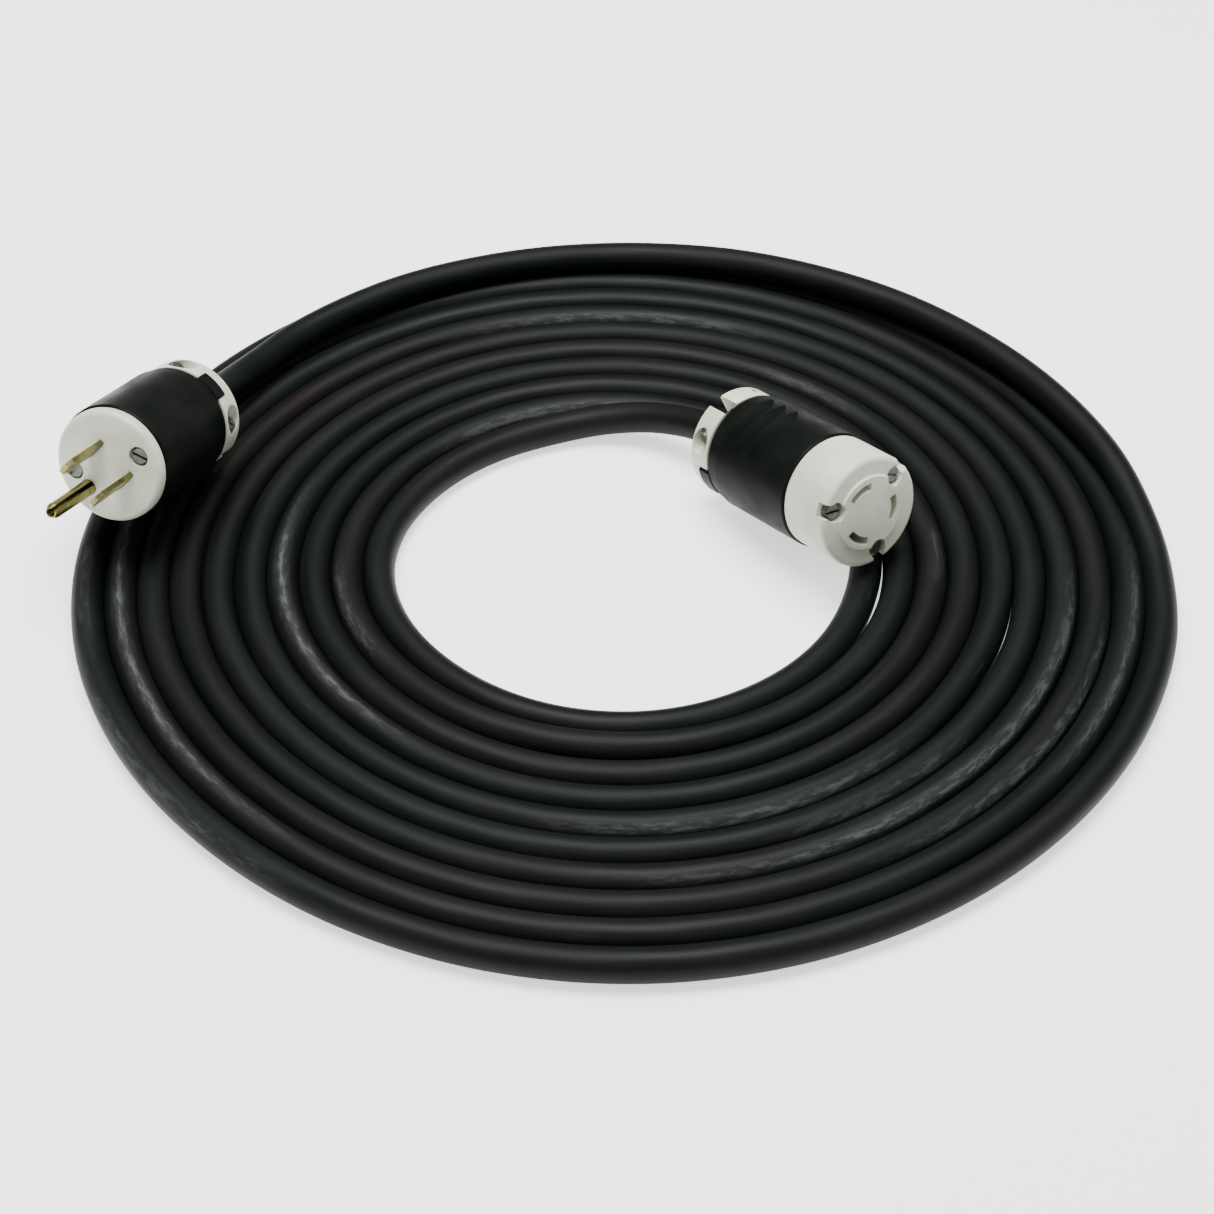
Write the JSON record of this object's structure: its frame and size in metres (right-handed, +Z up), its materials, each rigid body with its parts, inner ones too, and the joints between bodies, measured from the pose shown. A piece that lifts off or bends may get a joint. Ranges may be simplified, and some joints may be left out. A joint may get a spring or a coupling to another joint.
{
  "type": "shore power cord",
  "caption": "Rubber-jacketed shore power cord wound in a flat spiral, with a straight-blade grounding plug and a three-slot locking connector with cord clamps.",
  "frame": {"origin": "centre of the bounding box on the floor that the cord lies on, about at the centre of the winding", "axes": "+Z up from the floor; -Y towards the side that the blades and the connector's front point to; +X towards the side the connector lies on; the plug is at -X"},
  "size_m": [0.3335, 0.332, 0.0573],
  "materials": {
    "cord_rubber": "satin black rubber jacket, faintly ribbed by the conductors under it",
    "shell_black": "satin black moulded nylon",
    "nylon_white": "warm white moulded nylon with a fine satin grain",
    "brass": "rolled brass, lightly drawn along its length",
    "screw_steel": "zinc-plated steel",
    "wire_black": "insulation",
    "wire_white": "insulation",
    "wire_green": "insulation"
  },
  "bodies": {
    "cord_set": {"cord_coil": "cord_rubber", "cord_lead_plug": "cord_rubber", "cord_lead_connector": "cord_rubber", "plug_shell": "shell_black", "plug_face": "nylon_white", "plug_blade_line": "brass", "plug_blade_neutral": "brass", "plug_ground_pin": "brass", "plug_terminal_screws": "brass", "plug_terminal_plates": "brass", "plug_clamp_upper": "nylon_white", "plug_clamp_lower": "nylon_white", "plug_cord_end": "cord_rubber", "plug_wire_black": "wire_black", "plug_wire_white": "wire_white", "plug_wire_green": "wire_green", "conn_shell": "shell_black", "conn_front": "nylon_white", "conn_core": "nylon_white", "conn_contact_line": "brass", "conn_contact_neutral": "brass", "conn_contact_ground": "brass", "conn_terminal_screws": "brass", "conn_terminal_plates": "brass", "conn_clamp_upper": "nylon_white", "conn_clamp_lower": "nylon_white", "conn_cord_end": "cord_rubber", "conn_wire_black": "wire_black", "conn_wire_white": "wire_white", "conn_wire_green": "wire_green"},
    "plug_face_screw_a": {"plug_face_screw_a": "screw_steel"},
    "plug_face_screw_b": {"plug_face_screw_b": "screw_steel"},
    "plug_clamp_screw_a": {"plug_clamp_screw_a": "screw_steel"},
    "plug_clamp_screw_b": {"plug_clamp_screw_b": "screw_steel"},
    "conn_face_screw_a": {"conn_face_screw_a": "screw_steel"},
    "conn_face_screw_b": {"conn_face_screw_b": "screw_steel"},
    "conn_face_screw_c": {"conn_face_screw_c": "screw_steel"},
    "conn_clamp_screw_a": {"conn_clamp_screw_a": "screw_steel"},
    "conn_clamp_screw_b": {"conn_clamp_screw_b": "screw_steel"}
  },
  "joints": [
    {"name": "plug_face_screw_a_turn", "type": "hinge", "parent": "cord_set", "child": "plug_face_screw_a", "pos_m": [-0.13994, 0.00269, 0.04559], "axis": [-0.3507, -0.895, 0.2756], "continuous": true},
    {"name": "plug_face_screw_b_turn", "type": "hinge", "parent": "cord_set", "child": "plug_face_screw_b", "pos_m": [-0.16077, 0.00806, 0.0365], "axis": [-0.3507, -0.895, 0.2756], "continuous": true},
    {"name": "plug_clamp_screw_a_turn", "type": "hinge", "parent": "cord_set", "child": "plug_clamp_screw_a", "pos_m": [-0.13666, 0.04881, 0.04096], "axis": [0.6525, -0.0224, 0.7575], "continuous": true},
    {"name": "plug_clamp_screw_b_turn", "type": "hinge", "parent": "cord_set", "child": "plug_clamp_screw_b", "pos_m": [-0.12161, 0.03883, 0.02771], "axis": [0.6525, -0.0224, 0.7575], "continuous": true},
    {"name": "conn_face_screw_a_turn", "type": "hinge", "parent": "cord_set", "child": "conn_face_screw_a", "pos_m": [0.06108, -0.00991, 0.0349], "axis": [0.5638, -0.7993, 0.2079], "continuous": true},
    {"name": "conn_face_screw_b_turn", "type": "hinge", "parent": "cord_set", "child": "conn_face_screw_b", "pos_m": [0.07474, -0.00486, 0.01728], "axis": [0.5638, -0.7993, 0.2079], "continuous": true},
    {"name": "conn_face_screw_c_turn", "type": "hinge", "parent": "cord_set", "child": "conn_face_screw_c", "pos_m": [0.0792, 0.00368, 0.03801], "axis": [0.5638, -0.7993, 0.2079], "continuous": true},
    {"name": "conn_clamp_screw_a_turn", "type": "hinge", "parent": "cord_set", "child": "conn_clamp_screw_a", "pos_m": [0.03684, 0.03896, 0.00476], "axis": [-0.7269, -0.5998, -0.3345], "continuous": true},
    {"name": "conn_clamp_screw_b_turn", "type": "hinge", "parent": "cord_set", "child": "conn_clamp_screw_b", "pos_m": [0.02806, 0.03812, 0.02535], "axis": [-0.7269, -0.5998, -0.3345], "continuous": true}
  ]
}
